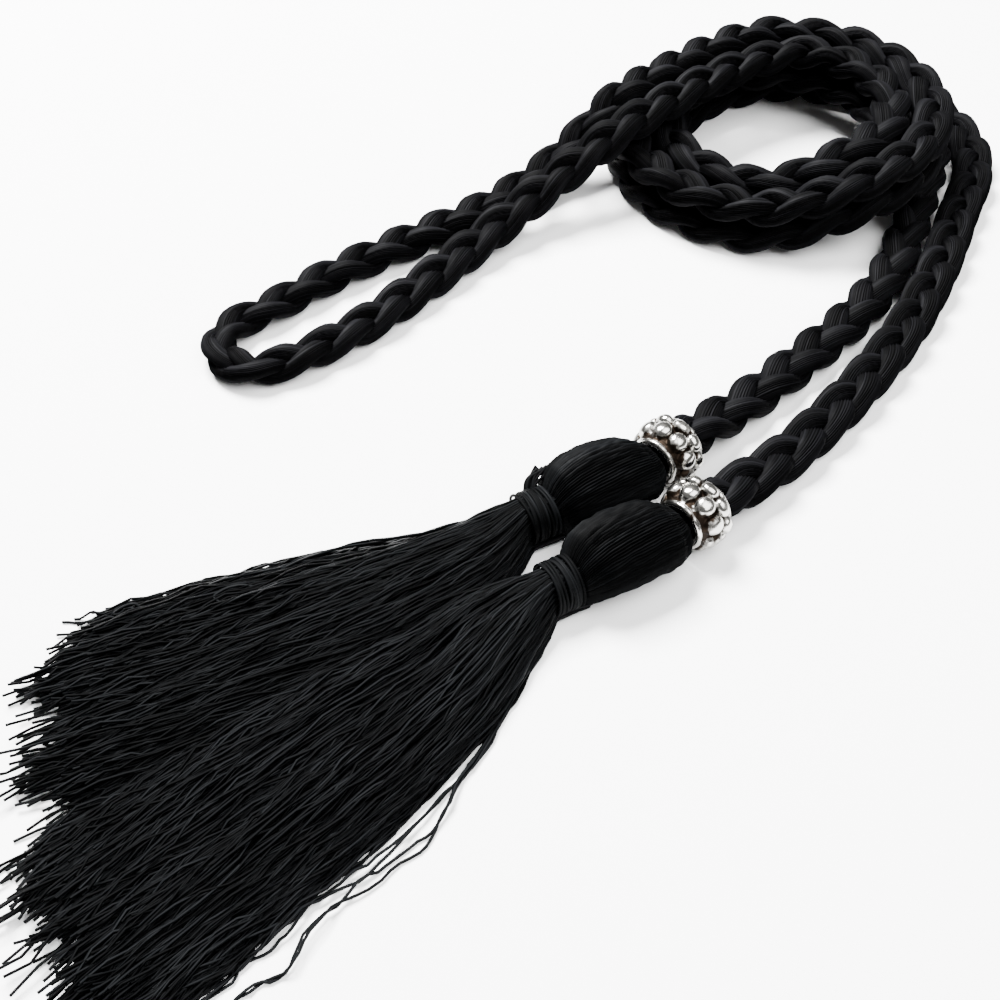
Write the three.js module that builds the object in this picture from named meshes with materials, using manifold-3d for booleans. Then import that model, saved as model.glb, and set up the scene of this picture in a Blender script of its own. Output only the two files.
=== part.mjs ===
// Rope belt: a flat braid of three strands with a bored bead and a bound tassel on each end. It lies
// folded in half on a flat surface: the fold is at the left, the doubled braid is coiled at the far
// right, and both tassels point at the near left. Millimetres, +Z up, the surface is z = 0.
import * as THREE from 'three';
import { mergeVertices } from 'three/addons/utils/BufferGeometryUtils.js';
import Module from 'manifold-3d';

const wasm = await Module();
wasm.setup();

// Braid
const ropeWidth = 9.6;
const ropeThickness = 6.8;
const braidPeriod = 33;
const foldGirth = 0.84;
const foldReach = 70;
const boreGirth = 0.64;
const easeReach = 10;
const bendTolerance = 0.2;
const cutMargin = 0.55;

// Coil of the doubled braid: two tracks side by side in three layers, with angles in degrees
const coilCentre = [50.5, 98.8];
const coilHalfWidth = 36.5;
const coilHalfDepth = 35.5;
const trackGap = 0.3;
const layerGap = 0.5;
const climb = [250, 308];
const coilEnd = 780;
const coilStep = 15;
const entrySwing = 13;
const swingFade = [20, 150];

// Beads
const beadDiameter = 14;
const beadLength = 9;
const beadBore = 7.4;
const beadRim = 10.2;
const domeHeight = 1.3;
const domesPerRow = 9;
const rowShare = 0.36;
const rimWidth = 1.5;
const grooveDepth = 0.5;

// Tassels
const headDiameter = 15;
const headLength = 22.4;
const bindingDiameter = 10.6;
const bindingWidth = 5.6;
const bindingRidges = 3;
const neckDiameter = 8.4;
const lockCount = 8;
const lockRings = [0, 0.1, 0.26, 0.5, 0.82, 1];
const lockSides = 6;
const windingGroove = 0.5;
const roundSides = 12;
const tipThickness = 2.6;
const thinAt = 0.87;
const lockRise = 0.64;
const lockWidth = 0.75;
const tipWidth = 0.36;
const farShortening = 0.1;
const raggedness = 0.03;
const clearance = 0.3;

// The bulb of a tassel's head: how far along it each ring is and its share of the head's radius
const bulb = [[0, 0.42], [0.1, 0.66], [0.28, 0.92], [0.5, 1], [0.72, 1], [0.9, 0.88], [1, 0.66]];

// The route's hand-chosen stretches, as [x, y, height above where the braid rests]
const route = {
  nearEntry: [[24.4, -2.2, 1.9], [32.8, 6, 0.3], [47.8, 21, 0], [61.3, 36, 0], [71, 50.5, 0],
    [78.2, 66.3, 0], [84.7, 82.8, 0]],
  nearRun: [[57.2, 121.9, 14.6], [41.5, 114, 14.6], [27, 101.4, 14.8], [11.2, 87, 13.6], [1.8, 80.1, 9.7],
    [-7.5, 73.8, 5.5], [-20.5, 62, 1.2], [-34, 46, 0], [-47.6, 30.6, 0], [-62.8, 18.9, 0]],
  fold: [[-69.6, 17, 0], [-75, 19.9, 0], [-76.8, 25.8, 0], [-74, 32, 0]],
  farRun: [[-68, 37, 0], [-53, 50.8, 0], [-38, 62, 0], [-24, 72.1, 0], [-14.4, 80, 0.6],
    [-5.5, 87.4, 3], [3.6, 94.4, 8.4], [12, 100.4, 14.6], [20.3, 108.3, 14.9], [35.5, 122.3, 14.6],
    [52, 131.9, 14.6]],
  farEntry: [[97.7, 87.2, 0], [91.5, 73.2, 0], [81.7, 50.7, 0], [69.9, 29, 0], [55.8, 9.4, 0],
    [40.6, -8.2, 0.2], [28.6, -19.7, 2]],
};

// Where each end's bead lies and which way its hole, its tassel and its skirt point, in degrees
const ends = [
  { name: '1', bead: [15.5, -11.6], hole: 46, tassel: 208, skirt: 'spread' },
  { name: '2', bead: [19.3, -28.4], hole: 42, tassel: 210, skirt: 'bell' },
];

// How each skirt lies: its heading, its length, how far its far and near sides stand out from its
// middle at the tips, and how soon each side gets there
const skirts = {
  spread: { heading: 207, length: 89, far: 15.6, near: 18, farFlare: 1.6, nearFlare: 1.5 },
  bell: { heading: 224, length: 100, far: 18.3, near: 13.8, farFlare: 1.3, nearFlare: 5 },
};

const black = { color: 0x121317, roughness: 0.75, metalness: 0 };
const silver = { color: 0xb9b7b0, roughness: 0.35, metalness: 1 };

const heading = (degrees) => {
  const angle = THREE.MathUtils.degToRad(degrees);
  return new THREE.Vector3(Math.cos(angle), Math.sin(angle), 0);
};

const ramp = (value, from, to) => THREE.MathUtils.smoothstep(value, from, to);

// Closed body through rings of points that all turn the same way about the line of travel. Each
// four-cornered face is split along the diagonal that lies deeper, so a twisted body never bulges.
function loft(rings) {
  const sides = rings[0].length;
  const corners = rings.flat();
  const hearts = rings.map((ring) => ring.reduce((sum, corner) => sum.add(corner), new THREE.Vector3())
    .divideScalar(sides));
  const index = [];
  for (let ring = 0; ring < rings.length - 1; ring += 1) {
    const heart = hearts[ring].clone().lerp(hearts[ring + 1], 0.5);
    const depth = (from, to) => corners[from].clone().lerp(corners[to], 0.5).distanceTo(heart);
    for (let side = 0; side < sides; side += 1) {
      const a = ring * sides + side;
      const b = ring * sides + ((side + 1) % sides);
      const [c, d] = [a + sides, b + sides];
      if (depth(a, d) < depth(b, c)) index.push(a, d, b, a, c, d);
      else index.push(a, c, b, b, c, d);
    }
  }
  const last = (rings.length - 1) * sides;
  for (let side = 1; side < sides - 1; side += 1) {
    index.push(0, side, side + 1, last, last + side + 1, last + side);
  }
  const geometry = new THREE.BufferGeometry().setFromPoints(corners);
  geometry.setIndex(index);
  return geometry;
}

function toSolid(geometry) {
  const bare = geometry.clone();
  bare.deleteAttribute('normal');
  bare.deleteAttribute('uv');
  const merged = mergeVertices(bare, 1e-4);
  return new wasm.Manifold(new wasm.Mesh({
    numProp: 3,
    vertProperties: new Float32Array(merged.attributes.position.array),
    triVerts: new Uint32Array(merged.index.array),
  }));
}

function toGeometry(solid) {
  const mesh = solid.getMesh();
  const geometry = new THREE.BufferGeometry();
  geometry.setAttribute('position', new THREE.BufferAttribute(mesh.vertProperties, 3));
  geometry.setIndex(new THREE.BufferAttribute(mesh.triVerts, 1));
  return geometry;
}

function named(name, geometry, finish) {
  const mesh = new THREE.Mesh(geometry, new THREE.MeshStandardMaterial(finish));
  mesh.name = name;
  return mesh;
}

// Centreline of one track of the coil: a flat helix that climbs one layer where it meets its own start
function coilPoint(degrees, track) {
  const swing = entrySwing * (1 - ramp(degrees, ...swingFade));
  const angle = THREE.MathUtils.degToRad(degrees);
  const layer = ramp(degrees, ...climb) + ramp(degrees - 360, ...climb);
  return new THREE.Vector3(
    coilCentre[0] + (coilHalfWidth - track * (ropeWidth + trackGap) + swing) * Math.cos(angle),
    coilCentre[1] + (coilHalfDepth - track * (ropeWidth + trackGap) + swing) * Math.sin(angle),
    ropeThickness / 2 + layer * (ropeThickness + layerGap),
  );
}

const laid = ([x, y, lift]) => new THREE.Vector3(x, y, ropeThickness / 2 + lift);

// The braid's two ends run straight through the beads
function throughBead(end) {
  const centre = new THREE.Vector3(end.bead[0], end.bead[1], beadDiameter / 2);
  return [-0.5, 0.5].map((share) => centre.clone().addScaledVector(heading(end.hole), share * beadLength));
}

function ropeLine() {
  const turns = [];
  for (let degrees = 0; degrees <= coilEnd; degrees += coilStep) turns.push(degrees);
  const points = [
    ...throughBead(ends[0]),
    ...route.nearEntry.map(laid),
    ...turns.map((degrees) => coilPoint(degrees, 1)),
    ...route.nearRun.map(laid),
    ...route.fold.map(laid),
    ...route.farRun.map(laid),
    ...turns.reverse().map((degrees) => coilPoint(degrees, 0)),
    ...route.farEntry.map(laid),
    ...throughBead(ends[1]).reverse(),
  ];
  const curve = new THREE.CatmullRomCurve3(points, false, 'centripetal');
  curve.arcLengthDivisions = 4000;
  const foldAt = points.length - 1 - (route.farRun.length + turns.length + route.farEntry.length + 3);
  return { curve, foldAt: foldAt / (points.length - 1) };
}

// How full the braid is along its length: squeezed through the beads, a little tighter at the fold
function girth(distance, length, foldDistance) {
  const fromEnd = Math.min(distance, length - distance);
  const eased = THREE.MathUtils.lerp(boreGirth, 1, ramp(fromEnd, beadLength, beadLength + easeReach));
  const fromFold = Math.abs(distance - foldDistance);
  return eased * THREE.MathUtils.lerp(foldGirth, 1, ramp(fromFold, 0, foldReach));
}

// A strand's section where it crosses the braid's middle and where it turns at the edge, in shares
// of the braid's half width and half thickness: its centre, then its upper right and upper left
// corners from there. The lower two lie opposite these.
const sections = {
  crossing: { centre: [0.4, 0.62], right: [0.46, 0.33], left: [-0.15, 0.34] },
  turning: { centre: [0.67, 0.65], right: [0.21, 0.33], left: [-0.28, 0.33] },
};

// One period of a strand: over the middle, down round one edge, under, and up round the other
const cycle = [
  { phase: 30, section: 'crossing', side: 1, level: 1 },
  { phase: 60, section: 'turning', side: 1, level: 1 },
  { phase: 120, section: 'turning', side: 1, level: -1 },
  { phase: 150, section: 'crossing', side: 1, level: -1 },
  { phase: 210, section: 'crossing', side: -1, level: 1 },
  { phase: 240, section: 'turning', side: -1, level: 1 },
  { phase: 300, section: 'turning', side: -1, level: -1 },
  { phase: 330, section: 'crossing', side: -1, level: -1 },
];

// The four corners of a section, counted round from the upper right, so that they follow on from
// one section to the next and the strand never wrings
function sectionCorners({ section, side, level }) {
  const { centre, right, left } = sections[section];
  const mirrored = ([x, z]) => [-x, z];
  const [first, second] = side === level ? [right, left] : [mirrored(left), mirrored(right)];
  const [x, z] = [side * centre[0], level * centre[1]];
  return [
    [x + first[0], z + first[1]], [x + second[0], z + second[1]],
    [x - first[0], z - first[1]], [x - second[0], z - second[1]],
  ];
}

// How far the centreline stands out from a straight step between two distances along it
function bulge(curve, length, from, to) {
  const [a, middle, b] = [from, (from + to) / 2, to].map((distance) => curve.getPointAt(distance / length));
  return middle.distanceTo(a.add(b).multiplyScalar(0.5));
}

// Stations of one strand along the braid, with one more in each step that a tight bend bows out.
// The first and last are cut square at the braid's ends.
function strandStations(curve, length, strand) {
  const stations = [];
  for (let turn = -2; turn < length / braidPeriod + 2; turn += 1) {
    for (const row of cycle) {
      const distance = braidPeriod * (turn + row.phase / 360 - strand / 3);
      stations.push({ distance, corners: sectionCorners(row) });
    }
  }
  const cutAt = (distance) => {
    const next = stations.findIndex((station) => station.distance > distance);
    const [a, b] = [stations[next - 1], stations[next]];
    const share = (distance - a.distance) / (b.distance - a.distance);
    const corners = a.corners.map(([x, z], corner) => [
      THREE.MathUtils.lerp(x, b.corners[corner][0], share),
      THREE.MathUtils.lerp(z, b.corners[corner][1], share),
    ]);
    return { distance, corners };
  };
  const inside = stations.filter(({ distance }) => distance > cutMargin && distance < length - cutMargin);
  const chosen = [cutAt(0), ...inside, cutAt(length)];
  return chosen.flatMap((station, place) => {
    const before = chosen[Math.max(place - 1, 0)].distance;
    const bowed = bulge(curve, length, before, station.distance) > bendTolerance;
    return bowed ? [cutAt((before + station.distance) / 2), station] : [station];
  });
}

function strand(line, number) {
  const length = line.curve.getLength();
  const lengths = line.curve.getLengths();
  const foldDistance = lengths[Math.round(line.foldAt * (lengths.length - 1))];
  const rings = strandStations(line.curve, length, number).map(({ distance, corners }) => {
    const centre = line.curve.getPointAt(distance / length);
    const along = line.curve.getTangentAt(distance / length);
    const across = along.clone().cross(new THREE.Vector3(0, 0, 1)).normalize();
    const up = across.clone().cross(along);
    const full = girth(distance, length, foldDistance);
    return corners.map(([x, z]) => centre.clone()
      .addScaledVector(across, x * full * ropeWidth / 2)
      .addScaledVector(up, z * full * ropeThickness / 2));
  });
  return loft(rings);
}

// Barrel bead on the Z axis: two flared rims, a groove by each and two staggered rows of domes
function bead() {
  const half = beadLength / 2;
  const [bore, rim, crown] = [beadBore / 2, beadRim / 2, beadDiameter / 2];
  const valley = crown - domeHeight;
  const profile = [
    { radius: bore, height: -half }, { radius: rim, height: -half },
    { radius: valley - grooveDepth, height: -half + rimWidth },
    { radius: crown, height: -half * rowShare, row: 0 },
    { radius: valley, height: 0 },
    { radius: crown, height: half * rowShare, row: 1 },
    { radius: valley - grooveDepth, height: half - rimWidth },
    { radius: rim, height: half }, { radius: bore, height: half }, { radius: bore, height: -half },
  ];
  const sides = 2 * domesPerRow;
  const points = profile.map(({ radius, height }) => new THREE.Vector2(radius, height));
  const shape = new THREE.LatheGeometry(points, sides);
  const places = shape.attributes.position;
  for (let corner = 0; corner < places.count; corner += 1) {
    const side = Math.floor(corner / profile.length);
    const { row } = profile[corner % profile.length];
    if (row !== undefined && side % 2 !== row) {
      places.setX(corner, (places.getX(corner) * valley) / crown);
      places.setZ(corner, (places.getZ(corner) * valley) / crown);
    }
  }
  return shape.rotateX(Math.PI / 2);
}

// Circle of points square to a direction
function ringAt(centre, along, radius) {
  const across = along.clone().cross(new THREE.Vector3(0, 0, 1)).normalize();
  const up = across.clone().cross(along);
  return Array.from({ length: roundSides }, (_, corner) => {
    const angle = (2 * Math.PI * corner) / roundSides;
    return centre.clone()
      .addScaledVector(across, radius * Math.cos(angle))
      .addScaledVector(up, radius * Math.sin(angle));
  });
}

// Where a tassel's pieces lie, from its bead towards the tips
function tasselPlan(end) {
  const beadCentre = new THREE.Vector3(end.bead[0], end.bead[1], beadDiameter / 2);
  const out = heading(end.hole).negate();
  const start = beadCentre.clone().addScaledVector(out, beadLength / 2 + clearance);
  const flat = heading(end.tassel);
  const throat = start.clone().addScaledVector(flat, headLength);
  throat.z = bindingDiameter / 2;
  const bindingCentre = throat.clone().addScaledVector(flat, bindingWidth / 2 + clearance);
  const fringe = throat.clone().addScaledVector(flat, bindingWidth + 2 * clearance);
  return { start, out, flat, throat, bindingCentre, fringe };
}

// Bulb of folded threads between the bead and the binding, with the neck that the binding grips
function head(plan) {
  const rings = bulb.map(([along, share]) => {
    const size = (share * headDiameter) / 2;
    const centre = plan.start.clone().lerp(plan.throat, along);
    centre.z = Math.max(centre.z, size);
    const facing = plan.out.clone().lerp(plan.flat, ramp(along, 0, 0.4)).normalize();
    return ringAt(centre, facing, size);
  });
  const neckEnd = plan.fringe.clone().addScaledVector(plan.flat, bindingWidth);
  const neck = [plan.throat.clone().addScaledVector(plan.flat, -bindingWidth / 2), neckEnd];
  const neckRings = neck.map((centre) => ringAt(centre, plan.flat, neckDiameter / 2));
  return toSolid(loft(rings)).add(toSolid(loft(neckRings)));
}

// One lock of a skirt: a flattened tapering tube that leaves the neck and fans out to its place,
// which runs from -1 at the far side to 1 at the near side
function lock(plan, lie, place) {
  const aim = heading(lie.heading);
  const aside = new THREE.Vector3(-aim.y, aim.x, 0);
  const [spread, flare] = place < 0 ? [lie.far, lie.farFlare] : [lie.near, lie.nearFlare];
  const uneven = raggedness * Math.sin(11 * place);
  const reach = lie.length * (1 - farShortening * Math.max(0, -place) + uneven);
  const spacing = (lie.far + lie.near) / lockCount;
  const rings = lockRings.map((along) => {
    const sideways = spread * place * (1 - (1 - along) ** flare);
    const forward = plan.flat.clone().lerp(aim, ramp(along, 0, 0.25)).normalize();
    const centre = plan.fringe.clone()
      .addScaledVector(forward, along * reach)
      .addScaledVector(aside, sideways);
    const top = THREE.MathUtils.lerp(neckDiameter, tipThickness, Math.min(1, along / thinAt) ** 0.8);
    const wide = spacing * THREE.MathUtils.lerp(lockWidth, tipWidth, ramp(along, 0.75, 1));
    centre.z = top * (1 - lockRise);
    const across = new THREE.Vector3(forward.y, -forward.x, 0);
    return Array.from({ length: lockSides }, (_, corner) => {
      const angle = (2 * Math.PI * corner) / lockSides;
      return centre.clone()
        .addScaledVector(across, wide * Math.cos(angle))
        .add(new THREE.Vector3(0, 0, top * lockRise * Math.sin(angle)));
    });
  });
  return toSolid(loft(rings));
}

function tassel(end) {
  const plan = tasselPlan(end);
  let solid = head(plan);
  for (let count = 0; count < lockCount; count += 1) {
    solid = solid.add(lock(plan, skirts[end.skirt], (2 * count) / (lockCount - 1) - 1));
  }
  const slab = new THREE.BoxGeometry(1000, 1000, 100).translate(0, 0, 50);
  return toGeometry(solid.intersect(toSolid(slab)));
}

// Ring of wound thread with a ridge for each pair of turns, bored to clear the neck
function binding() {
  const bore = neckDiameter / 2 + clearance;
  const outer = bindingDiameter / 2;
  const profile = [[bore, -bindingWidth / 2]];
  for (let ridge = 0; ridge < bindingRidges; ridge += 1) {
    const from = -bindingWidth / 2 + (bindingWidth * ridge) / bindingRidges;
    profile.push([outer - windingGroove, from], [outer, from + bindingWidth / bindingRidges / 2]);
  }
  profile.push([outer - windingGroove, bindingWidth / 2]);
  profile.push([bore, bindingWidth / 2], [bore, -bindingWidth / 2]);
  const points = profile.map(([radius, height]) => new THREE.Vector2(radius, height));
  return new THREE.LatheGeometry(points, roundSides).rotateX(Math.PI / 2);
}

// Lays a piece made on the Z axis down along a direction
function laidAlong(mesh, centre, degrees) {
  mesh.position.copy(centre);
  mesh.quaternion.setFromUnitVectors(new THREE.Vector3(0, 0, 1), heading(degrees));
  return mesh;
}

const belt = new THREE.Group();
const line = ropeLine();
for (const number of [0, 1, 2]) {
  belt.add(named(`braid_strand_${number + 1}`, strand(line, number), black));
}
for (const end of ends) {
  const plan = tasselPlan(end);
  const beadCentre = new THREE.Vector3(end.bead[0], end.bead[1], beadDiameter / 2);
  belt.add(laidAlong(named(`bead_${end.name}`, bead(), silver), beadCentre, end.hole));
  belt.add(named(`tassel_${end.name}`, tassel(end), black));
  belt.add(laidAlong(named(`binding_${end.name}`, binding(), black), plan.bindingCentre, end.tassel));
}

// The origin is under the middle of the belt's box
const box = new THREE.Box3().setFromObject(belt, true);
const middle = box.getCenter(new THREE.Vector3());
belt.position.set(-middle.x, -middle.y, -box.min.z);

export default belt;
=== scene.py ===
"""Rope belt: a black braid of three strands with a silver bead and a tassel on each end, laid
folded in half and coiled on a pale floor. Metres, +Z up, in the frame of the solid parts."""
import math

import bpy
import numpy as np
from mathutils import Matrix, Vector


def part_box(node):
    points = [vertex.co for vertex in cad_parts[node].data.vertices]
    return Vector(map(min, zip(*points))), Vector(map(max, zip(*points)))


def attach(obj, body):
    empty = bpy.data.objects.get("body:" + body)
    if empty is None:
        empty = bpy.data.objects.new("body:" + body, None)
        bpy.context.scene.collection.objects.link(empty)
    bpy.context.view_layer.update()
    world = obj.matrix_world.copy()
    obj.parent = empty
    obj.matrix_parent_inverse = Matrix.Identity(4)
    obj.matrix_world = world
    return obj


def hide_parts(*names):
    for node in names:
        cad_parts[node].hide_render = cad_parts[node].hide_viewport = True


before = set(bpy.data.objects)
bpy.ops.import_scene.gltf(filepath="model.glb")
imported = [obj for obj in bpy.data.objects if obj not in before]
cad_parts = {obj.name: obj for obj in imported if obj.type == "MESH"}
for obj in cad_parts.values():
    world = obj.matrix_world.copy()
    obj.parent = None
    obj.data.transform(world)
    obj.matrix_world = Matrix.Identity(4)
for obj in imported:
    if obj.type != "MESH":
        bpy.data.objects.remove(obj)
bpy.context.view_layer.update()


# The camera stands over the near side and looks down at the belt, which fills its view. Its place
# is measured from the far bead, as every place on the belt is.
bead_centre = sum(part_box("bead_1"), Vector()) / 2
camera = bpy.data.objects.new("camera", bpy.data.cameras.new("camera"))
camera.location = bead_centre + Vector((-0.0325, -0.2024, 0.196))
camera.rotation_euler = (math.radians(44), 0, 0)
camera.data.sensor_width, camera.data.lens = 36, 52.2
bpy.context.collection.objects.link(camera)
bpy.context.scene.camera = camera


# The braid lies in one long line: from the far bead in to the coil, a little over twice round on
# its inner track, out to the fold at the left, back beside itself, round the outer track and out to
# the near bead. Its points are in millimetres, on the floor's height, from one common start point.
rope_width, rope_thickness, braid_period = 9.6, 6.8, 33
bead_diameter, bead_length = 14, 9
coil_centre, coil_half = (50.5, 98.8), (36.5, 35.5)
track_gap, layer_gap, coil_climb, coil_end, coil_step = 0.3, 0.5, (250, 308), 780, 15
entry_swing, swing_fade = 13, (20, 150)
near_entry = [(24.4, -2.2, 1.9), (32.8, 6, 0.3), (47.8, 21, 0), (61.3, 36, 0), (71, 50.5, 0),
              (78.2, 66.3, 0), (84.7, 82.8, 0)]
near_run = [(57.2, 121.9, 14.6), (41.5, 114, 14.6), (27, 101.4, 14.8), (11.2, 87, 13.6),
            (1.8, 80.1, 9.7), (-7.5, 73.8, 5.5), (-20.5, 62, 1.2), (-34, 46, 0), (-47.6, 30.6, 0),
            (-62.8, 18.9, 0)]
fold = [(-69.6, 17, 0), (-75, 19.9, 0), (-76.8, 25.8, 0), (-74, 32, 0)]
far_run = [(-68, 37, 0), (-53, 50.8, 0), (-38, 62, 0), (-24, 72.1, 0), (-14.4, 80, 0.6),
           (-5.5, 87.4, 3), (3.6, 94.4, 8.4), (12, 100.4, 14.6), (20.3, 108.3, 14.9),
           (35.5, 122.3, 14.6), (52, 131.9, 14.6)]
far_entry = [(97.7, 87.2, 0), (91.5, 73.2, 0), (81.7, 50.7, 0), (69.9, 29, 0), (55.8, 9.4, 0),
             (40.6, -8.2, 0.2), (28.6, -19.7, 2)]
ends = {
    "1": {"bead": (15.5, -11.6), "hole": 46, "tassel": 208},
    "2": {"bead": (19.3, -28.4), "hole": 42, "tassel": 210},
}
start_point = np.array(bead_centre) * 1000 - np.array([*ends["1"]["bead"], bead_diameter / 2])


def heading(degrees):
    return np.array([math.cos(math.radians(degrees)), math.sin(math.radians(degrees)), 0])


def ramp(value, low, high):
    share = np.clip((value - low) / (high - low), 0, 1)
    return share * share * (3 - 2 * share)


def through_bead(end):
    centre = np.array([*end["bead"], bead_diameter / 2])
    return [centre + heading(end["hole"]) * share * bead_length for share in (-0.5, 0.5)]


def laid(points):
    return [np.array([x, y, rope_thickness / 2 + lift]) for x, y, lift in points]


def coil_point(degrees, track):
    reach = entry_swing * (1 - ramp(degrees, *swing_fade)) - track * (rope_width + track_gap)
    layer = ramp(degrees, *coil_climb) + ramp(degrees - 360, *coil_climb)
    turned = heading(degrees)
    return np.array([coil_centre[0] + (coil_half[0] + reach) * turned[0],
                     coil_centre[1] + (coil_half[1] + reach) * turned[1],
                     rope_thickness / 2 + layer * (rope_thickness + layer_gap)])


def smooth_line(points, pieces=24):
    """Centripetal spline through the points."""
    points = [2 * points[0] - points[1], *points, 2 * points[-1] - points[-2]]
    line = []
    for a, b, c, d in zip(points, points[1:], points[2:], points[3:]):
        first, second, third = [np.linalg.norm(q - p) ** 0.5 for p, q in ((a, b), (b, c), (c, d))]
        leave = second * ((b - a) / first - (c - a) / (first + second) + (c - b) / second)
        arrive = second * ((c - b) / second - (d - b) / (second + third) + (d - c) / third)
        for t in np.arange(pieces) / pieces:
            line.append(b + leave * t + (3 * (c - b) - 2 * leave - arrive) * t ** 2
                        + (2 * (b - c) + leave + arrive) * t ** 3)
    return np.array([*line, points[-2]])


def walked(line, step):
    """The line again with points a step apart, and how far along it each one is."""
    lengths = np.concatenate([[0], np.cumsum(np.linalg.norm(np.diff(line, axis=0), axis=1))])
    places = np.linspace(0, lengths[-1], int(lengths[-1] / step) + 1)
    return np.stack([np.interp(places, lengths, line[:, k]) for k in range(3)], 1), places


turns = list(range(0, coil_end + 1, coil_step))
before_fold = [*through_bead(ends["1"]), *laid(near_entry), *(coil_point(d, 1) for d in turns),
               *laid(near_run)]
after_fold = [*laid(far_run), *(coil_point(d, 0) for d in reversed(turns)), *laid(far_entry),
              *reversed(through_bead(ends["2"]))]
braid_line, braid_places = walked(
    smooth_line([*before_fold, *laid(fold), *after_fold]) + start_point, 1.5)
braid_length = braid_places[-1]
fold_place = braid_places[np.argmin(braid_line[:, 0])]


# The three strands are soft bundles of fine black silky thread, each with its own slight twist.
# Every strand goes over the middle, down round one edge, under and up round the other, and the
# three follow each other a third of a period apart, squeezed where they enter the beads.
class Wire:
    """One output of a node. Arithmetic on it adds the node that does the sum."""

    def __init__(self, tree, socket):
        self.tree, self.socket = tree, socket

    def add(self, kind, settings=None, sockets=None, out=None):
        node = self.tree.nodes.new(kind)
        for name, value in (settings or {}).items():
            setattr(node, name, value)
        open_inputs = [socket for socket in node.inputs if socket.enabled]
        for key, value in (sockets or {}).items():
            socket = open_inputs[key] if isinstance(key, int) else next(
                s for s in open_inputs if s.name == key)
            if isinstance(value, Wire):
                self.tree.links.new(value.socket, socket)
            else:
                socket.default_value = value
        outputs = [socket for socket in node.outputs if socket.enabled]
        return Wire(self.tree, next((s for s in outputs if s.name == out), outputs[0])
                    if outputs else None)

    def _sum(self, operation, first, second):
        vectors = [isinstance(v, Wire) and v.socket.type == "VECTOR" for v in (first, second)]
        if operation == "MULTIPLY" and sum(vectors) == 1:
            vector, number = (first, second) if vectors[0] else (second, first)
            return self.add("ShaderNodeVectorMath", {"operation": "SCALE"},
                            {"Vector": vector, "Scale": number})
        kind = "ShaderNodeVectorMath" if any(vectors) else "ShaderNodeMath"
        return self.add(kind, {"operation": operation}, {0: first, 1: second})

    def __add__(self, other):
        return self._sum("ADD", self, other)

    def __radd__(self, other):
        return self._sum("ADD", other, self)

    def __sub__(self, other):
        return self._sum("SUBTRACT", self, other)

    def __rsub__(self, other):
        return self._sum("SUBTRACT", other, self)

    def __mul__(self, other):
        return self._sum("MULTIPLY", self, other)

    def __rmul__(self, other):
        return self._sum("MULTIPLY", other, self)

    def __truediv__(self, other):
        return self._sum("DIVIDE", self, other)

    def __rtruediv__(self, other):
        return self._sum("DIVIDE", other, self)

    def __mod__(self, other):
        return self._sum("FLOORED_MODULO", self, other)

    def maths(self, operation, *others):
        return self.add("ShaderNodeMath", {"operation": operation},
                        dict(enumerate([self, *others])))


def start_tree(name, **inputs):
    """A tree of geometry nodes with these named inputs after its geometry."""
    tree = bpy.data.node_groups.new(name, "GeometryNodeTree")
    tree.interface.new_socket("Geometry", in_out="OUTPUT", socket_type="NodeSocketGeometry")
    tree.interface.new_socket("Geometry", in_out="INPUT", socket_type="NodeSocketGeometry")
    for label, kind in {**inputs, "finish": "Material"}.items():
        tree.interface.new_socket(label, in_out="INPUT", socket_type=f"NodeSocket{kind}")
    outputs = tree.nodes.new("NodeGroupInput").outputs
    return tree, {socket.name: Wire(tree, socket) for socket in outputs if socket.name}


def end_tree(tree, shape, finish):
    shape = shape.add("GeometryNodeRealizeInstances", None, {"Geometry": shape})
    shape = shape.add("GeometryNodeSetMaterial", None, {"Geometry": shape, "Material": finish})
    tree.links.new(shape.socket, tree.nodes.new("NodeGroupOutput").inputs[0])


def named(source, label, kind="FLOAT_VECTOR"):
    return source.add("GeometryNodeInputNamedAttribute", {"data_type": kind}, {"Name": label})


def stored(shape, label, value):
    return shape.add("GeometryNodeStoreNamedAttribute", {"data_type": "FLOAT", "domain": "POINT"},
                     {"Geometry": shape, "Name": label, "Value": value})


def guide_mesh(name, lines, **values):
    """Open lines of points in millimetres, with a number or a vector for each point."""
    points = np.concatenate(lines) / 1000
    firsts = np.cumsum([0, *map(len, lines)])
    pairs = [(k, k + 1) for a, b in zip(firsts, firsts[1:]) for k in range(a, b - 1)]
    mesh = bpy.data.meshes.new(name)
    mesh.from_pydata(points.tolist(), pairs, [])
    for label, numbers in values.items():
        vector = numbers.ndim == 2
        attribute = mesh.attributes.new(label, "FLOAT_VECTOR" if vector else "FLOAT", "POINT")
        attribute.data.foreach_set("vector" if vector else "value",
                                   (numbers / 1000 if vector else numbers).ravel())
    return mesh


def grown(name, guide, tree, slot_name, **values):
    """The plain mesh piece that a tree makes of a guide."""
    piece = bpy.data.objects.new(name, guide)
    bpy.context.collection.objects.link(piece)
    growth = piece.modifiers.new(name, "NODES")
    growth.node_group = tree
    for item in tree.interface.items_tree:
        if item.in_out == "INPUT" and item.name in values:
            growth[item.identifier] = values[item.name]
    whole = piece.evaluated_get(bpy.context.evaluated_depsgraph_get())
    mesh = bpy.data.meshes.new_from_object(whole)
    piece.modifiers.remove(growth)
    piece.data = mesh
    mesh.name = name
    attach(piece, "root")
    return piece


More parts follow.
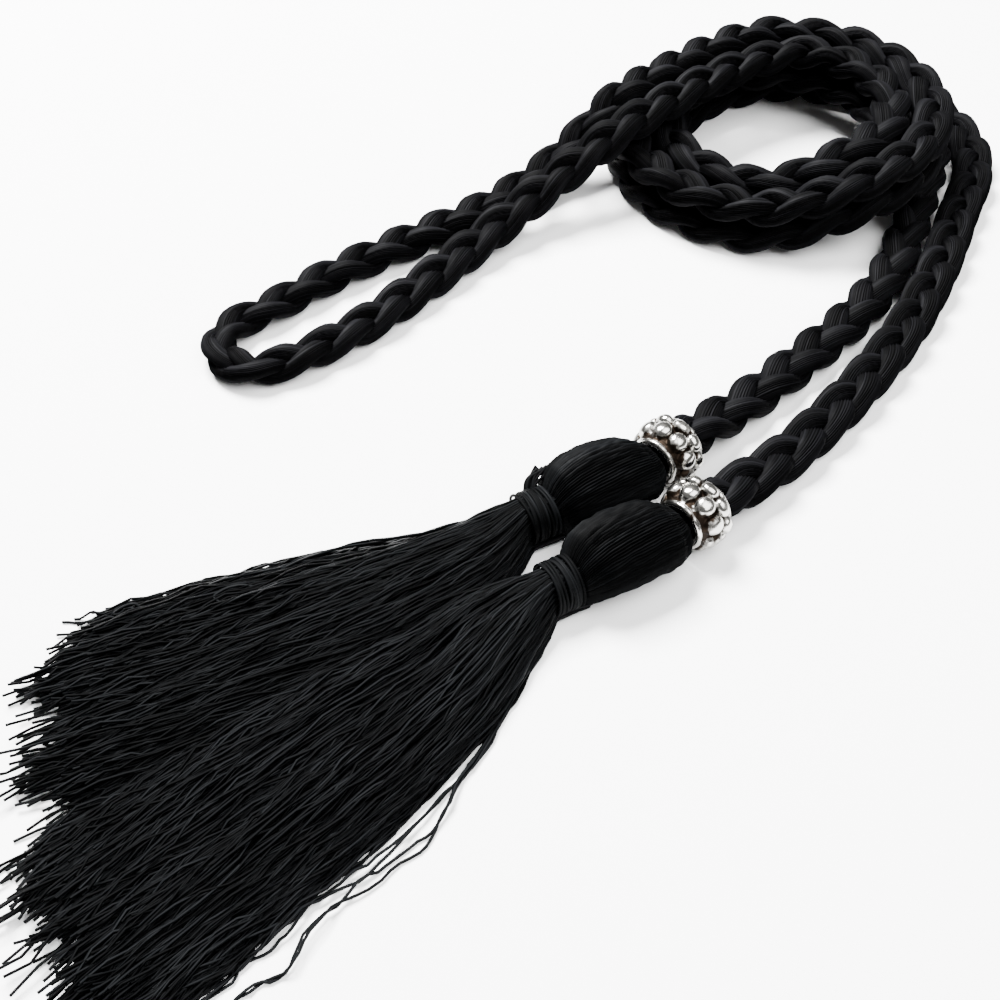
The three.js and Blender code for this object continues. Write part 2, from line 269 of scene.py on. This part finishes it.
def thread_finish(name, light):
    """Black thread, a little uneven in tone and gloss, with painted shade in the grooves."""
    dark, roughness, specular = (0.0001, 0.0001, 0.0001), 0.5, 0.02
    material = bpy.data.materials.new(name)
    material.use_nodes = True
    tree = material.node_tree
    tree.nodes.clear()
    start = Wire(tree, None)
    tone = start.add("ShaderNodeAttribute", {"attribute_name": "tone"}, out="Fac")
    groove = start.add("ShaderNodeAttribute", {"attribute_name": "groove"}, out="Fac")
    place = start.add("ShaderNodeTexCoord", out="Object")
    fibre = start.add("ShaderNodeTexNoise", None,
                      {"Vector": place, "Scale": 900, "Detail": 2}, out="Fac")
    patch = start.add("ShaderNodeTexNoise", None,
                      {"Vector": place, "Scale": 60, "Detail": 2}, out="Fac")
    # Painted shade: the colour is darkened in the grooves between threads, on top of each thread's
    # own tone.
    tone_with_groove_shade = (tone * tone + fibre * 0.2 + patch * 0.2) * (1 - groove * 0.92)
    colour = start.add("ShaderNodeMix", {"data_type": "RGBA"},
                       {"Factor": tone_with_groove_shade, "A": (*dark, 1), "B": (*light, 1)})
    bump = start.add("ShaderNodeBump", None,
                     {"Strength": 0.35, "Distance": 0.0001, "Height": fibre})
    surface = start.add("ShaderNodeBsdfPrincipled", None, {
        "Base Color": colour, "Roughness": roughness + 0.2 * (1 - tone_with_groove_shade), "Normal": bump,
        "Specular IOR Level": specular})
    start.add("ShaderNodeOutputMaterial", None, {"Surface": surface})
    return material


# Lays fine threads side by side round a guide line, which holds two half-diameters of the bundle
# for each of its points. Each thread is a raised rib with a sharp groove on both sides.
bundle_tree, given = start_tree("thread_bundle", threads="Int", turns="Float", ridge="Float",
                                unevenness="Float", roundness="Float", seed="Int")
guide = given["Geometry"]
rings = guide.add("GeometryNodeAttributeDomainSize", None, {"Geometry": guide})
straight = guide.add("GeometryNodeResampleCurve", {"mode": "COUNT"}, {
    "Curve": guide.add("GeometryNodeCurvePrimitiveLine", None, {"Start": (0, 0, 0),
                                                                "End": (0, 0, 1)}),
    "Count": rings})
tube = guide.add("GeometryNodeCurveToMesh", None, {
    "Curve": straight, "Fill Caps": True,
    "Profile Curve": guide.add("GeometryNodeCurvePrimitiveCircle", None,
                               {"Resolution": given["threads"] * 2, "Radius": 1.0})})
place = guide.add("GeometryNodeInputPosition")
across, aside, along = [guide.add("ShaderNodeSeparateXYZ", None, {0: place}, out=axis)
                        for axis in "XYZ"]
angle = aside.maths("ARCTAN2", across)
side = (angle * given["threads"] / math.pi).maths("ROUND")
groove = side % 2
thread = ((side + groove) / 2) % given["threads"]
ring = (along * (rings - 1)).maths("ROUND")
random_tone = guide.add("ShaderNodeTexWhiteNoise", {"noise_dimensions": "2D"}, {
    "Vector": guide.add("ShaderNodeCombineXYZ", None, {"X": thread, "Y": given["seed"]})})
wander = guide.add("ShaderNodeTexNoise", None, {
    "Vector": guide.add("ShaderNodeCombineXYZ", None, {
        "X": thread * 1.7 + given["seed"] * 31, "Y": ring * 0.11, "Z": given["seed"]}),
    "Scale": 1.0, "Detail": 1.0}, out="Fac")
turned = (angle + along * given["turns"] * (2 * math.pi)
          + (wander - 0.5) * (5 / given["threads"]))  # less than half a thread's place
fullness = 1 - groove * given["ridge"] + (wander - 0.5) * given["unevenness"]


def at_ring(value):
    return guide.add("GeometryNodeSampleIndex", {"data_type": "FLOAT_VECTOR", "domain": "POINT"},
                     {"Geometry": guide, "Value": value, "Index": ring})


def rounded(share):
    """A sine or cosine drawn towards its ends, which makes a round section squarer."""
    return share.maths("SIGN") * share.maths("ABSOLUTE").maths("POWER", given["roundness"])


target = (at_ring(place)
          + at_ring(named(guide, "first")) * (rounded(turned.maths("COSINE")) * fullness)
          + at_ring(named(guide, "second")) * (rounded(turned.maths("SINE")) * fullness))
tube = stored(stored(tube, "tone", random_tone), "groove", groove)
tube = guide.add("GeometryNodeSetPosition", None, {"Geometry": tube, "Position": target})
tube = guide.add("GeometryNodeSetShadeSmooth", {"domain": "EDGE"}, {
    "Geometry": tube, "Shade Smooth": False,
    "Selection": named(guide, "groove", "FLOAT").maths("GREATER_THAN", 0.9)})
end_tree(bundle_tree, tube, given["finish"])

braid_silk = thread_finish("braid_silk", (0.0045, 0.0045, 0.0053))


def frame_along(line):
    """The line's direction at each point, with what lies across it and what stands up from it."""
    forward = np.gradient(line, axis=0)
    forward /= np.linalg.norm(forward, axis=1)[:, None]
    across = np.cross(forward, [0, 0, 1])
    across /= np.linalg.norm(across, axis=1)[:, None]
    return forward, across, np.cross(across, forward)


forward, across, up = frame_along(braid_line)
from_end = np.minimum(braid_places, braid_length - braid_places)
squeezed, full_before, full_after = 0.66, -2, 3
fold_girth, fold_taper = 0.84, 70
girth = (squeezed + (1 - squeezed) * ramp(from_end, bead_length + full_before,
                                          bead_length + full_after)) * (
    fold_girth + (1 - fold_girth) * ramp(abs(braid_places - fold_place), 0, fold_taper))
half_width, half_thickness = (girth * size / 2 for size in (rope_width, rope_thickness))
for number in range(3):
    phase = 2 * math.pi * (braid_places / braid_period + number / 3)
    wave = [np.cos(k * phase) for k in range(5)]

    def placed(x, z):
        return across * (x * half_width)[:, None] + up * (z * half_thickness)[:, None]

    # The bundle's spread across and up, and its lean, in shares of the braid's half sizes: it
    # leans where it rises through the middle, lies flat over the next one, and stands at an edge
    spread_across = 0.30 + 0.10 * wave[2]
    spread_up = 0.31 - 0.07 * wave[2] + 0.06 * wave[4]
    lean = 0.07 * wave[1] + 0.08 * wave[3]
    centre = braid_line + placed(0.56 * np.sin(phase), 0.44 * np.sin(2 * phase))
    wide = placed(np.sqrt(spread_across), lean / np.sqrt(spread_across))
    thick = placed(0 * phase, np.sqrt(spread_up - lean ** 2 / spread_across))
    strand = grown(f"silk_strand_{number + 1}",
                   guide_mesh("strand", [centre], first=thick, second=wide),
                   bundle_tree, "braid", threads=28, turns=7.0, ridge=0.24, unevenness=0.14,
                   roundness=0.88, seed=number + 1, finish=braid_silk)
    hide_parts(f"braid_strand_{number + 1}")


# Each bead is a short barrel of silver-plated cast metal with a smooth rim round each hole and two
# staggered rows of round domes. The plating is darkened in the grooves between them.
bead_bore, bead_rim, bead_sides, bead_rings = 7.4, 10.2, 180, 40
dome_height, dome_swell, domes_per_row, dome_half_width, dome_power = 1.3, 0.3, 9, 2.42, 2.6
dome_rows = ((-0.95, 2.2), (2.15, 1.55))   # each row's height on the bead and its half height


def bead_finish():
    material = bpy.data.materials.new("aged_silver")
    material.use_nodes = True
    tree = material.node_tree
    tree.nodes.clear()
    start = Wire(tree, None)
    hollow = start.add("ShaderNodeAttribute", {"attribute_name": "hollow"}, out="Fac")
    place = start.add("ShaderNodeTexCoord", out="Object")
    stain = start.add("ShaderNodeTexNoise", None,
                      {"Vector": place, "Scale": 360, "Detail": 4}, out="Fac")
    dark = start.add("ShaderNodeMapRange", None, {
        "Value": hollow + (stain - 0.5) * 3.2, "From Min": 0.3, "From Max": 0.7})
    colour = start.add("ShaderNodeMix", {"data_type": "RGBA"}, {
        "Factor": dark, "A": (0.45, 0.44, 0.415, 1), "B": (0.01, 0.007, 0.005, 1)})
    bump = start.add("ShaderNodeBump", None,
                     {"Strength": 0.6, "Distance": 0.0003, "Height": stain})
    surface = start.add("ShaderNodeBsdfPrincipled", None, {
        "Base Color": colour, "Metallic": 1.0, "Roughness": 0.18 + dark * 0.3,
        "Normal": bump})
    start.add("ShaderNodeOutputMaterial", None, {"Surface": surface})
    return material


def bead_mesh(name):
    """The barrel turned from its profile round Z, with the domes raised on it."""
    half, crown = bead_length / 2, bead_diameter / 2
    valley = crown - dome_height
    profile = [(bead_bore / 2, -half + 0.5), (bead_bore / 2 + 0.35, -half + 0.12),
               (bead_rim / 2 - 0.4, -half), (bead_rim / 2, -half + 0.25),
               (bead_rim / 2 + 0.1, -half + 0.7), (valley - 0.9, -half + 1.3)]
    body = np.linspace(-half + 1.6, half - 1.6, bead_rings)
    profile += [(valley - 0.25 - 0.5 * (h / half) ** 2, h) for h in body]
    profile += [(r, -h) for r, h in reversed(profile[:6])]
    profile += [(bead_bore / 2, h) for h in np.linspace(half - 0.5, -half + 0.5, 8)[1:-1]]
    sides = bead_sides
    angles = np.arange(sides) * 2 * math.pi / sides
    radius, height = (np.repeat(values, sides) for values in zip(*profile))
    angle = np.tile(angles, len(profile))
    raised = np.zeros(len(radius))
    outside = radius > bead_bore / 2 + 0.5
    pitch = 2 * math.pi / domes_per_row
    for row, (middle, tall) in enumerate(dome_rows):
        away = (angle - row * pitch / 2 + pitch / 2) % pitch - pitch / 2
        share = np.hypot(away * crown / dome_half_width, (height - middle) / tall)
        raised = np.maximum(raised, np.sqrt(np.clip(1 - share ** dome_power, 0, 1)))
    raised *= outside
    radius = radius + raised * (dome_height + dome_swell)
    points = np.stack([radius * np.cos(angle), radius * np.sin(angle), height], 1) / 1000
    faces = []
    count = len(profile)
    for ring in range(count):
        for side in range(sides):
            a, b = ring * sides + side, ring * sides + (side + 1) % sides
            c, d = (a + sides) % (count * sides), (b + sides) % (count * sides)
            faces.append((a, b, d, c))
    mesh = bpy.data.meshes.new(name)
    mesh.from_pydata(points.tolist(), [], faces)
    hollow = mesh.attributes.new("hollow", "FLOAT", "POINT")
    rim, rim_hollow, bore_hollow = abs(height) > half - 1.0, 0.1, 0.9
    depth = np.where(outside, np.where(rim, rim_hollow, 1 - raised), bore_hollow)
    hollow.data.foreach_set("value", depth)
    mesh.polygons.foreach_set("use_smooth", [True] * len(faces))
    return mesh


silver = bead_finish()
for label, end in ends.items():
    mesh = bead_mesh(f"cast_bead_{label}")
    bead = bpy.data.objects.new(f"cast_bead_{label}", mesh)
    bpy.context.collection.objects.link(bead)
    centre = Vector(start_point + [*end["bead"], bead_diameter / 2]) / 1000
    hole = Vector(-heading(end["hole"]))
    turn = hole.to_track_quat("-Z", "Y").to_matrix().to_4x4()
    mesh.transform(turn)
    mesh.transform(Matrix.Translation(centre))
    mesh.materials.append(silver)
    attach(bead, "root")
    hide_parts(f"bead_{label}")


# A tassel's head is a bunch of threads folded over and gathered into a bulb. It sits against the
# bead and narrows to the neck, which runs on under the binding.
head_diameter, head_length, neck_diameter = 15, 22.4, 8.4
binding_diameter, binding_width, clearance = 10.6, 5.6, 0.3
head_rings, neck_rings, relief_room = 48, 5, 1.05
tassel_silk = thread_finish("tassel_silk", (0.003, 0.0033, 0.0037))
bulb = [(0, 0.36), (0.03, 0.6), (0.08, 0.77), (0.16, 0.9), (0.28, 0.97), (0.45, 1), (0.62, 1.01),
        (0.78, 0.98), (0.9, 0.9), (0.97, 0.78), (1, 0.66)]
plans = {}
for label, end in ends.items():
    out, flat = -heading(end["hole"]), heading(end["tassel"])
    middle = start_point + [*end["bead"], bead_diameter / 2]
    start = middle + out * (bead_length / 2 + clearance)
    throat = start + flat * head_length
    throat[2] = start_point[2] + binding_diameter / 2
    plans[label] = {"start": start, "out": out, "flat": flat, "throat": throat,
                    "binding": throat + flat * (binding_width / 2 + clearance),
                    "fringe": throat + flat * (binding_width + 2 * clearance)}
    shares = np.concatenate([np.linspace(0, 1, head_rings) ** 1.3, np.ones(neck_rings)])
    beyond = np.concatenate([np.zeros(head_rings), np.linspace(0.8, binding_width, neck_rings)])
    size = np.interp(shares, *zip(*bulb)) * head_diameter / 2
    size[beyond > 0] = neck_diameter / 2
    line = start + (throat - start) * shares[:, None] + flat * beyond[:, None]
    line[:, 2] = np.maximum(line[:, 2], size * relief_room + start_point[2])
    facing = out + (flat - out) * ramp(shares, 0, 0.4)[:, None]
    facing /= np.linalg.norm(facing, axis=1)[:, None]
    aside = np.cross(facing, [0, 0, 1])
    head = grown(f"silk_head_{label}",
                 guide_mesh("head", [line], first=np.cross(aside, facing) * -size[:, None],
                            second=aside * size[:, None]),
                 bundle_tree, "tassel", threads=84, turns=0.06, ridge=0.09, unevenness=0.2,
                 roundness=1.0, seed=10 + int(label), finish=tassel_silk)
    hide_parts(f"tassel_{label}")


# Loose threads: each is a thin round cord that follows its own line, wavers a little and rests on
# the floor or on the threads under it.
loose_tree, given = start_tree("loose_threads", thickness="Float", waver="Float", waves="Float",
                               sides="Int", floor="Float", seed="Int")
guide = given["Geometry"]
place = guide.add("GeometryNodeInputPosition")
tone, slack = (named(guide, label, "FLOAT") for label in ("tone", "slack"))
shift = guide.add("ShaderNodeCombineXYZ", None,
                  {"X": tone * 97, "Y": tone * 53, "Z": given["seed"] * 7.1})
waver = guide.add("ShaderNodeTexNoise", None, {
    "Vector": place * given["waves"] + shift, "Scale": 1.0, "Detail": 2.5}, out="Color")
waver = guide.add("ShaderNodeVectorMath", {"operation": "SUBTRACT"},
                  {0: waver, 1: (0.5, 0.5, 0.5)})
moved = guide.add("GeometryNodeSetPosition", None, {
    "Geometry": guide, "Offset": waver * (given["waver"] * slack)})
x, y, z = [guide.add("ShaderNodeSeparateXYZ", None, {0: place}, out=axis) for axis in "XYZ"]
lifted = guide.add("GeometryNodeSetPosition", None, {
    "Geometry": moved, "Position": guide.add("ShaderNodeCombineXYZ", None, {
        "X": x, "Y": y, "Z": z.maths("MAXIMUM", given["floor"] + given["thickness"] / 2)})})
cord = guide.add("GeometryNodeMeshToCurve", None, {"Mesh": lifted})
cord = guide.add("GeometryNodeCurveToMesh", None, {
    "Curve": cord, "Scale": given["thickness"] / 2 * named(guide, "girth", "FLOAT"),
    "Fill Caps": True,
    "Profile Curve": guide.add("GeometryNodeCurvePrimitiveCircle", None,
                               {"Resolution": given["sides"], "Radius": 1.0})})
end_tree(loose_tree, cord, given["finish"])
floor_height = start_point[2] / 1000


def loose_guide(name, lines, tones, slack=None, taper=0.15):
    shares = [np.linspace(0, 1, len(line)) for line in lines]
    return guide_mesh(
        name, lines, tone=np.concatenate([np.full(len(s), t) for s, t in zip(shares, tones)]),
        slack=np.concatenate([0.3 + 0.7 * s if slack is None else slack(s) for s in shares]),
        girth=np.concatenate([1 - taper * s for s in shares]))


# The skirts: several hundred loose threads hang from each neck. They fan out where they lie on
# the floor and end unevenly, the near tassel's over the lower side of the far one's.
skirts = {
    "1": {"heading": 207, "length": 89, "far": 15.6, "near": 18, "far_flare": 1.9,
          "near_flare": 4.5, "near_longer": 0.07},
    "2": {"heading": 224, "length": 100, "far": 18.3, "near": 13.8, "far_flare": 3.6,
          "near_flare": 5, "near_longer": 0},
}
tip_thickness, skirt_threads, lock_threads, skirt_steps = 3.2, 900, 14, 26
full_reach, far_shorter, widest = 0.97, 0.07, 1.12
# Threads that have strayed, in two plies: curls and ends on the far skirt's upper side, and long
# ones beside the near skirt
strays = {
    "1": [[(-24.1, -30.2, 6), (-38.1, -34.2, 6), (-52.3, -36.4, 4), (-64.7, -42.8, 2.5)],
          [(-60.3, -48.8, 3.5), (-64.8, -49.2, 4), (-68.7, -46.3, 3), (-66.6, -44.7, 3),
           (-62.7, -43.7, 3.5), (-59.8, -45.4, 3)],
          [(-79.5, -49.7, 2), (-84.8, -48.3, 1.5), (-89.6, -47.9, 1.2), (-95.4, -48.1, 0.6)],
          [(-81.8, -48.7, 2), (-83, -47.5, 3), (-85.9, -48.2, 2.5), (-88, -49.5, 1.2),
           (-92.6, -50.6, 0.6)]],
    "2": [[(-10, -54.6, 2.5), (-15.1, -65.4, 0.8), (-20.1, -75.5, 0.5), (-24.9, -86.7, 1.5),
           (-29.2, -93, 0.6), (-37, -99.6, 0.4), (-45.3, -109.8, 0.4), (-51, -116.7, 0.4),
           (-56.8, -121.6, 0.4)],
          [(-11.8, -57.5, 2), (-17.3, -70.8, 0.8), (-22.6, -81.8, 0.5), (-31.2, -91.3, 1.5),
           (-40.2, -100.2, 0.4), (-47.3, -106.5, 0.4), (-53.6, -112.6, 0.4), (-60.7, -119.3, 0.4)],
          [(-13.5, -62.2, 1), (-20.4, -71.3, 0.5), (-25.2, -80.2, 0.5), (-32.2, -89.6, 0.5),
           (-38.3, -95.1, 0.5), (-43.4, -100.2, 0.4)]],
}
for label, lie in skirts.items():
    plan, chance = plans[label], np.random.default_rng(20 + int(label))
    aim = heading(lie["heading"])
    aside = np.array([-aim[1], aim[0], 0])
    neck_aside = np.array([-plan["flat"][1], plan["flat"][0], 0])
    along = np.linspace(0, 1, skirt_steps)[:, None]
    lines, tones = [], []
    for number in range(skirt_threads):
        if number % lock_threads == 0:
            lock_place, lock_height = chance.uniform(-1.06, 1.06), chance.uniform(0, 1) ** 0.7
            lock_drift, lock_reach = chance.normal(0, 0.2), chance.normal(0, 0.035)
        own = chance.normal(0, 0.075)
        place = np.clip(lock_place + own, -widest, widest)
        height = np.clip(lock_height + chance.normal(0, 0.22), 0, 1)
        reach = lie["length"] * (full_reach - far_shorter * max(0, -place)
                                 + lie["near_longer"] * max(0, place)
                                 + lock_reach + chance.normal(0, 0.03))
        spot = place + (lock_drift - own * 0.7 + chance.normal(0, 0.07)) * along
        spread = np.where(spot < 0, lie["far"], lie["near"])
        flare = np.where(spot < 0, lie["far_flare"], lie["near_flare"])
        forward = plan["flat"] + (aim - plan["flat"]) * ramp(along, 0, 0.25)
        forward /= np.linalg.norm(forward, axis=1)[:, None]
        top = neck_diameter + (tip_thickness - neck_diameter) * np.minimum(1, along / 0.87) ** 0.8
        round_off = np.sqrt(np.clip(1.15 - abs(spot) ** 2, 0.03, 1))
        line = plan["fringe"] + forward * along * reach + aside * spread * spot * (
            1 - (1 - along) ** flare)
        line = line + neck_aside * place * neck_diameter * 0.42 * (1 - ramp(along, 0, 0.3))
        line[:, 2:] = start_point[2] + 0.25 + top * round_off * height * 0.95 + (
            1 - ramp(along, 0, 0.1)) * (binding_diameter - neck_diameter) / 2
        root = line[0] - plan["flat"] * (binding_width + 1.5)
        lines.append(np.concatenate([[root], line]))
        tones.append(chance.uniform())
    for stray in strays[label]:
        for ply in (0, 0.5):
            lines.append(smooth_line([start_point + point + [ply, ply, 0]
                                      for point in np.array(stray)], 6))
            tones.append(0.9 - ply / 5)
    skirt = grown(f"silk_skirt_{label}", loose_guide("skirt", lines, tones), loose_tree, "tassel",
                  thickness=0.00068, waver=0.0085, waves=85.0, sides=3, floor=floor_height,
                  seed=30 + int(label), finish=tassel_silk)
    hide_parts(f"tassel_{label}")


# A binding of the same thread is wound thirteen times round each neck and tied off, which leaves a
# short cut tuft behind the far one.
windings, winding_step, sunk = 13, 0.42, 0.6
tuft_threads, tuft_foot = 14, np.array([-11.6, -24.4, 7.5])
binding_silk = thread_finish("binding_silk", (0.003, 0.0033, 0.0037))
for label, plan in plans.items():
    chance = np.random.default_rng(40 + int(label))
    axis, aside = plan["flat"], np.cross(plan["flat"], [0, 0, 1])
    lines, tones = [], []
    for winding in range(windings):
        angle = np.linspace(0, 2 * math.pi * 1.04, 48)[:, None] + chance.uniform(0, 6.28)
        offset = (winding - windings // 2) * winding_step + chance.normal(0, 0.12) + 0.35 * np.sin(
            angle + chance.uniform(0, 6.28))
        size = binding_diameter / 2 - sunk + 0.25 * chance.uniform() + 0.06 * np.sin(3 * angle)
        lines.append(plan["binding"] + axis * offset + size * (
            aside * np.cos(angle) + np.array([0, 0, 1]) * np.sin(angle)))
        tones.append(chance.uniform())
    for _ in range(tuft_threads if label == "1" else 0):
        foot = start_point + tuft_foot + chance.normal(0, 0.5, 3)
        lines.append(smooth_line([foot, foot + [0.6, 2.6, 1.9],
                                  foot + [2.4, 4.6, 2.6] + chance.normal(0, 0.4, 3)], 6))
        tones.append(chance.uniform())
    binding = grown(f"silk_binding_{label}",
                    loose_guide("binding", lines, tones, lambda s: 0 * s, 0), loose_tree,
                    "binding", thickness=0.0006, waver=0.0, waves=1.0, sides=6,
                    floor=floor_height, seed=1, finish=binding_silk)
    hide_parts(f"binding_{label}")


# The floor is plain and pale, lit by a wide soft light from the back left and an even white sky.
floor_mesh = bpy.data.meshes.new("floor")
floor_mesh.from_pydata([(x * 3, y * 3, 0) for x, y in ((-1, -1), (1, -1), (1, 1), (-1, 1))], [],
                       [(0, 1, 2, 3)])
floor = bpy.data.objects.new("floor", floor_mesh)
bpy.context.collection.objects.link(floor)
paper = bpy.data.materials.new("white_paper")
paper.use_nodes = True
paper.node_tree.nodes["Principled BSDF"].inputs["Base Color"].default_value = (0.93, 0.93, 0.93, 1)
paper.node_tree.nodes["Principled BSDF"].inputs["Roughness"].default_value = 0.9
floor_mesh.materials.append(paper)
sky = bpy.data.worlds.new("studio")
sky.use_nodes = True
sky.node_tree.nodes["Background"].inputs["Color"].default_value = (1, 1, 1, 1)
sky.node_tree.nodes["Background"].inputs["Strength"].default_value = 0.22
bpy.context.scene.world = sky
for name, place, size, power in (("soft_box", (-0.35, 0.45, 0.9), 0.5, 120),
                                 ("fill", (0.5, -0.3, 1.1), 1.2, 50)):
    light = bpy.data.objects.new(name, bpy.data.lights.new(name, "AREA"))
    light.data.size, light.data.energy = size, power
    light.location = place
    light.rotation_euler = (-Vector(place)).to_track_quat("-Z", "Y").to_euler()
    bpy.context.collection.objects.link(light)
